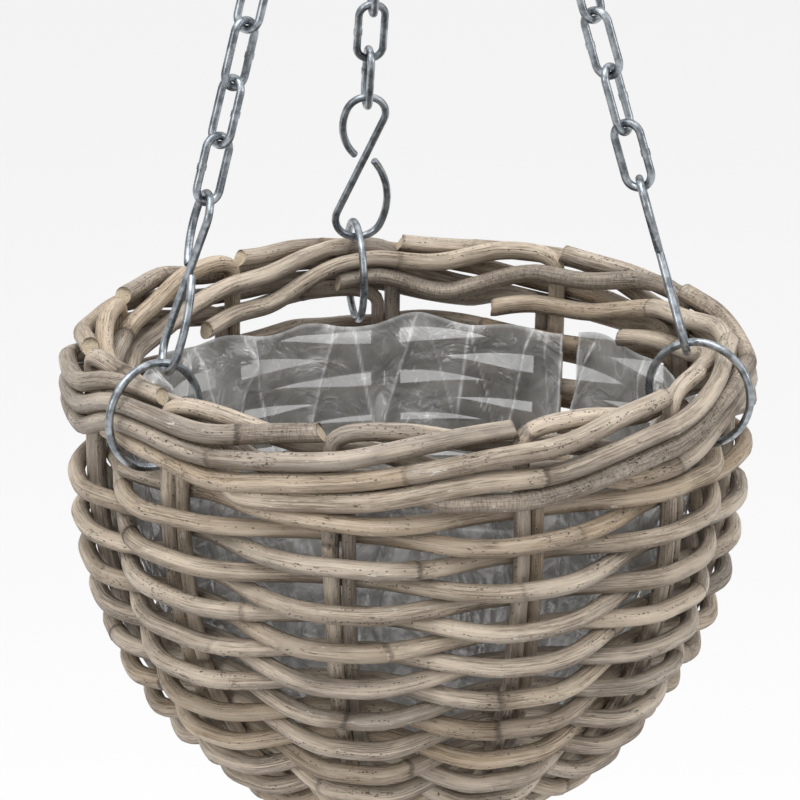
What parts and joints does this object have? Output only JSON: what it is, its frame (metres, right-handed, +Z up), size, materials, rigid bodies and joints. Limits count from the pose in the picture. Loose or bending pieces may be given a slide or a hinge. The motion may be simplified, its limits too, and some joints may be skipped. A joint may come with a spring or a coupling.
{
  "type": "hanging basket",
  "caption": "Hanging basket woven from round rattan canes with a plaited border and a clear liner, hung by welded wire chains, S-hooks and rings from a top ring and hook.",
  "frame": {"origin": "the point where the inside of the top hook's upper loop bears on what carries the basket", "axes": "+Z up along the line of hang; the top ring lies across X; the front of the pictured view is -Y; +X is to the right of that view"},
  "size_m": [0.3461, 0.3514, 0.8056],
  "materials": {
    "stake_cane": "unpeeled rattan, weathered grey-brown, satin skin",
    "weaving_cane": "unpeeled rattan, beige-grey, satin skin with fine streaks",
    "galvanised_wire": "bright galvanised wire, welded",
    "staple_wire": "bright drawn steel",
    "clear_film": "crinkled clear plastic film"
  },
  "bodies": {
    "top_hook": {"top_hook": "galvanised_wire"},
    "top_ring": {"top_ring": "galvanised_wire"},
    "basket": {"stakes_front": "stake_cane", "stakes_rear": "stake_cane", "weaver_1": "weaving_cane", "weaver_2": "weaving_cane", "weaver_3": "weaving_cane", "weaver_4": "weaving_cane", "weaver_5": "weaving_cane", "weaver_6": "weaving_cane", "base_sticks": "stake_cane", "base_weaver": "weaving_cane", "liner": "clear_film", "staples": "staple_wire"},
    "left_link_1": {"left_link_1": "galvanised_wire"},
    "left_link_2": {"left_link_2": "galvanised_wire"},
    "left_link_3": {"left_link_3": "galvanised_wire"},
    "left_link_4": {"left_link_4": "galvanised_wire"},
    "left_link_5": {"left_link_5": "galvanised_wire"},
    "left_link_6": {"left_link_6": "galvanised_wire"},
    "left_link_7": {"left_link_7": "galvanised_wire"},
    "left_link_8": {"left_link_8": "galvanised_wire"},
    "left_link_9": {"left_link_9": "galvanised_wire"},
    "left_link_10": {"left_link_10": "galvanised_wire"},
    "left_link_11": {"left_link_11": "galvanised_wire"},
    "left_link_12": {"left_link_12": "galvanised_wire"},
    "left_link_13": {"left_link_13": "galvanised_wire"},
    "right_link_1": {"right_link_1": "galvanised_wire"},
    "right_link_2": {"right_link_2": "galvanised_wire"},
    "right_link_3": {"right_link_3": "galvanised_wire"},
    "right_link_4": {"right_link_4": "galvanised_wire"},
    "right_link_5": {"right_link_5": "galvanised_wire"},
    "right_link_6": {"right_link_6": "galvanised_wire"},
    "right_link_7": {"right_link_7": "galvanised_wire"},
    "right_link_8": {"right_link_8": "galvanised_wire"},
    "right_link_9": {"right_link_9": "galvanised_wire"},
    "right_link_10": {"right_link_10": "galvanised_wire"},
    "right_link_11": {"right_link_11": "galvanised_wire"},
    "right_link_12": {"right_link_12": "galvanised_wire"},
    "right_link_13": {"right_link_13": "galvanised_wire"},
    "rear_link_1": {"rear_link_1": "galvanised_wire"},
    "rear_link_2": {"rear_link_2": "galvanised_wire"},
    "rear_link_3": {"rear_link_3": "galvanised_wire"},
    "rear_link_4": {"rear_link_4": "galvanised_wire"},
    "rear_link_5": {"rear_link_5": "galvanised_wire"},
    "rear_link_6": {"rear_link_6": "galvanised_wire"},
    "rear_link_7": {"rear_link_7": "galvanised_wire"},
    "rear_link_8": {"rear_link_8": "galvanised_wire"},
    "rear_link_9": {"rear_link_9": "galvanised_wire"},
    "rear_link_10": {"rear_link_10": "galvanised_wire"},
    "rear_link_11": {"rear_link_11": "galvanised_wire"},
    "rear_link_12": {"rear_link_12": "galvanised_wire"},
    "rear_link_13": {"rear_link_13": "galvanised_wire"},
    "left_hook": {"left_hook": "galvanised_wire"},
    "right_hook": {"right_hook": "galvanised_wire"},
    "rear_hook": {"rear_hook": "galvanised_wire"},
    "left_ring": {"left_ring": "galvanised_wire"},
    "right_ring": {"right_ring": "galvanised_wire"},
    "rear_ring": {"rear_ring": "galvanised_wire"}
  },
  "joints": [
    {"name": "top_ring_swing", "type": "hinge", "parent": "top_hook", "child": "top_ring", "pos_m": [0, 0, -0.09], "axis": [0, 1, 0], "range_deg": [-25, 25]},
    {"name": "basket_swing", "type": "hinge", "parent": "top_ring", "child": "basket", "pos_m": [0, -0.0015, -0.13181], "axis": [1, 0, 0], "range_deg": [-20, 20]},
    {"name": "left_link_1_twist", "type": "hinge", "parent": "basket", "child": "left_link_1", "pos_m": [-0.01509, -0.00265, -0.14116], "axis": [-0.2317, -0.1969, -0.9526], "range_deg": [-12, 12]},
    {"name": "left_link_2_twist", "type": "hinge", "parent": "basket", "child": "left_link_2", "pos_m": [-0.02162, -0.00819, -0.16797], "axis": [-0.2317, -0.1969, -0.9526], "range_deg": [-12, 12]},
    {"name": "left_link_3_twist", "type": "hinge", "parent": "basket", "child": "left_link_3", "pos_m": [-0.02814, -0.01373, -0.19479], "axis": [-0.2317, -0.1969, -0.9526], "range_deg": [-12, 12]},
    {"name": "left_link_4_twist", "type": "hinge", "parent": "basket", "child": "left_link_4", "pos_m": [-0.03466, -0.01927, -0.22161], "axis": [-0.2317, -0.1969, -0.9526], "range_deg": [-12, 12]},
    {"name": "left_link_5_twist", "type": "hinge", "parent": "basket", "child": "left_link_5", "pos_m": [-0.04119, -0.02482, -0.24842], "axis": [-0.2317, -0.1969, -0.9526], "range_deg": [-12, 12]},
    {"name": "left_link_6_twist", "type": "hinge", "parent": "basket", "child": "left_link_6", "pos_m": [-0.04771, -0.03036, -0.27524], "axis": [-0.2317, -0.1969, -0.9526], "range_deg": [-12, 12]},
    {"name": "left_link_7_twist", "type": "hinge", "parent": "basket", "child": "left_link_7", "pos_m": [-0.05423, -0.0359, -0.30206], "axis": [-0.2317, -0.1969, -0.9526], "range_deg": [-12, 12]},
    {"name": "left_link_8_twist", "type": "hinge", "parent": "basket", "child": "left_link_8", "pos_m": [-0.06076, -0.04144, -0.32887], "axis": [-0.2317, -0.1969, -0.9526], "range_deg": [-12, 12]},
    {"name": "left_link_9_twist", "type": "hinge", "parent": "basket", "child": "left_link_9", "pos_m": [-0.06728, -0.04698, -0.35569], "axis": [-0.2317, -0.1969, -0.9526], "range_deg": [-12, 12]},
    {"name": "left_link_10_twist", "type": "hinge", "parent": "basket", "child": "left_link_10", "pos_m": [-0.07381, -0.05253, -0.38251], "axis": [-0.2317, -0.1969, -0.9526], "range_deg": [-12, 12]},
    {"name": "left_link_11_twist", "type": "hinge", "parent": "basket", "child": "left_link_11", "pos_m": [-0.08033, -0.05807, -0.40932], "axis": [-0.2317, -0.1969, -0.9526], "range_deg": [-12, 12]},
    {"name": "left_link_12_twist", "type": "hinge", "parent": "basket", "child": "left_link_12", "pos_m": [-0.08685, -0.06361, -0.43614], "axis": [-0.2317, -0.1969, -0.9526], "range_deg": [-12, 12]},
    {"name": "left_link_13_twist", "type": "hinge", "parent": "basket", "child": "left_link_13", "pos_m": [-0.09338, -0.06915, -0.46296], "axis": [-0.2317, -0.1969, -0.9526], "range_deg": [-12, 12]},
    {"name": "left_hook_twist", "type": "hinge", "parent": "basket", "child": "left_hook", "pos_m": [-0.10633, -0.08016, -0.51621], "axis": [-0.2317, -0.1969, -0.9526], "range_deg": [-12, 12]},
    {"name": "left_ring_turn", "type": "hinge", "parent": "basket", "child": "left_ring", "pos_m": [-0.12199, -0.09293, -0.57862], "axis": [0.606, -0.7955, 0], "continuous": true},
    {"name": "right_link_1_twist", "type": "hinge", "parent": "basket", "child": "right_link_1", "pos_m": [0.01565, -0.00169, -0.14117], "axis": [0.2733, -0.1255, -0.9537], "range_deg": [-12, 12]},
    {"name": "right_link_2_twist", "type": "hinge", "parent": "basket", "child": "right_link_2", "pos_m": [0.02334, -0.00522, -0.16798], "axis": [0.2733, -0.1255, -0.9537], "range_deg": [-12, 12]},
    {"name": "right_link_3_twist", "type": "hinge", "parent": "basket", "child": "right_link_3", "pos_m": [0.03102, -0.00875, -0.19479], "axis": [0.2733, -0.1255, -0.9537], "range_deg": [-12, 12]},
    {"name": "right_link_4_twist", "type": "hinge", "parent": "basket", "child": "right_link_4", "pos_m": [0.03871, -0.01227, -0.22161], "axis": [0.2733, -0.1255, -0.9537], "range_deg": [-12, 12]},
    {"name": "right_link_5_twist", "type": "hinge", "parent": "basket", "child": "right_link_5", "pos_m": [0.04639, -0.0158, -0.24842], "axis": [0.2733, -0.1255, -0.9537], "range_deg": [-12, 12]},
    {"name": "right_link_6_twist", "type": "hinge", "parent": "basket", "child": "right_link_6", "pos_m": [0.05407, -0.01933, -0.27523], "axis": [0.2733, -0.1255, -0.9537], "range_deg": [-12, 12]},
    {"name": "right_link_7_twist", "type": "hinge", "parent": "basket", "child": "right_link_7", "pos_m": [0.06176, -0.02286, -0.30205], "axis": [0.2733, -0.1255, -0.9537], "range_deg": [-12, 12]},
    {"name": "right_link_8_twist", "type": "hinge", "parent": "basket", "child": "right_link_8", "pos_m": [0.06944, -0.02639, -0.32886], "axis": [0.2733, -0.1255, -0.9537], "range_deg": [-12, 12]},
    {"name": "right_link_9_twist", "type": "hinge", "parent": "basket", "child": "right_link_9", "pos_m": [0.07713, -0.02992, -0.35567], "axis": [0.2733, -0.1255, -0.9537], "range_deg": [-12, 12]},
    {"name": "right_link_10_twist", "type": "hinge", "parent": "basket", "child": "right_link_10", "pos_m": [0.08481, -0.03345, -0.38249], "axis": [0.2733, -0.1255, -0.9537], "range_deg": [-12, 12]},
    {"name": "right_link_11_twist", "type": "hinge", "parent": "basket", "child": "right_link_11", "pos_m": [0.0925, -0.03698, -0.4093], "axis": [0.2733, -0.1255, -0.9537], "range_deg": [-12, 12]},
    {"name": "right_link_12_twist", "type": "hinge", "parent": "basket", "child": "right_link_12", "pos_m": [0.10018, -0.0405, -0.43611], "axis": [0.2733, -0.1255, -0.9537], "range_deg": [-12, 12]},
    {"name": "right_link_13_twist", "type": "hinge", "parent": "basket", "child": "right_link_13", "pos_m": [0.10787, -0.04403, -0.46292], "axis": [0.2733, -0.1255, -0.9537], "range_deg": [-12, 12]},
    {"name": "right_hook_twist", "type": "hinge", "parent": "basket", "child": "right_hook", "pos_m": [0.12314, -0.05104, -0.5162], "axis": [0.2733, -0.1255, -0.9537], "range_deg": [-12, 12]},
    {"name": "right_ring_turn", "type": "hinge", "parent": "basket", "child": "right_ring", "pos_m": [0.14147, -0.05918, -0.57862], "axis": [0.3859, 0.9225, 0], "continuous": true},
    {"name": "rear_link_1_twist", "type": "hinge", "parent": "basket", "child": "rear_link_1", "pos_m": [-0.0008, 0.0043, -0.14427], "axis": [-0.0592, 0.3195, -0.9457], "range_deg": [-12, 12]},
    {"name": "rear_link_2_twist", "type": "hinge", "parent": "basket", "child": "rear_link_2", "pos_m": [-0.00246, 0.01329, -0.17089], "axis": [-0.0592, 0.3195, -0.9457], "range_deg": [-12, 12]},
    {"name": "rear_link_3_twist", "type": "hinge", "parent": "basket", "child": "rear_link_3", "pos_m": [-0.00413, 0.02228, -0.1975], "axis": [-0.0592, 0.3195, -0.9457], "range_deg": [-12, 12]},
    {"name": "rear_link_4_twist", "type": "hinge", "parent": "basket", "child": "rear_link_4", "pos_m": [-0.0058, 0.03127, -0.22412], "axis": [-0.0592, 0.3195, -0.9457], "range_deg": [-12, 12]},
    {"name": "rear_link_5_twist", "type": "hinge", "parent": "basket", "child": "rear_link_5", "pos_m": [-0.00746, 0.04027, -0.25073], "axis": [-0.0592, 0.3195, -0.9457], "range_deg": [-12, 12]},
    {"name": "rear_link_6_twist", "type": "hinge", "parent": "basket", "child": "rear_link_6", "pos_m": [-0.00913, 0.04926, -0.27735], "axis": [-0.0592, 0.3195, -0.9457], "range_deg": [-12, 12]},
    {"name": "rear_link_7_twist", "type": "hinge", "parent": "basket", "child": "rear_link_7", "pos_m": [-0.0108, 0.05825, -0.30396], "axis": [-0.0592, 0.3195, -0.9457], "range_deg": [-12, 12]},
    {"name": "rear_link_8_twist", "type": "hinge", "parent": "basket", "child": "rear_link_8", "pos_m": [-0.01246, 0.06724, -0.33058], "axis": [-0.0592, 0.3195, -0.9457], "range_deg": [-12, 12]},
    {"name": "rear_link_9_twist", "type": "hinge", "parent": "basket", "child": "rear_link_9", "pos_m": [-0.01413, 0.07623, -0.35719], "axis": [-0.0592, 0.3195, -0.9457], "range_deg": [-12, 12]},
    {"name": "rear_link_10_twist", "type": "hinge", "parent": "basket", "child": "rear_link_10", "pos_m": [-0.0158, 0.08522, -0.3838], "axis": [-0.0592, 0.3195, -0.9457], "range_deg": [-12, 12]},
    {"name": "rear_link_11_twist", "type": "hinge", "parent": "basket", "child": "rear_link_11", "pos_m": [-0.01746, 0.09422, -0.41042], "axis": [-0.0592, 0.3195, -0.9457], "range_deg": [-12, 12]},
    {"name": "rear_link_12_twist", "type": "hinge", "parent": "basket", "child": "rear_link_12", "pos_m": [-0.01913, 0.10321, -0.43703], "axis": [-0.0592, 0.3195, -0.9457], "range_deg": [-12, 12]},
    {"name": "rear_link_13_twist", "type": "hinge", "parent": "basket", "child": "rear_link_13", "pos_m": [-0.0208, 0.1122, -0.46365], "axis": [-0.0592, 0.3195, -0.9457], "range_deg": [-12, 12]},
    {"name": "rear_hook_twist", "type": "hinge", "parent": "basket", "child": "rear_hook", "pos_m": [-0.02411, 0.13006, -0.51651], "axis": [-0.0592, 0.3195, -0.9457], "range_deg": [-12, 12]},
    {"name": "rear_ring_turn", "type": "hinge", "parent": "basket", "child": "rear_ring", "pos_m": [-0.02795, 0.15078, -0.57862], "axis": [-0.9833, -0.1822, 0], "continuous": true}
  ]
}
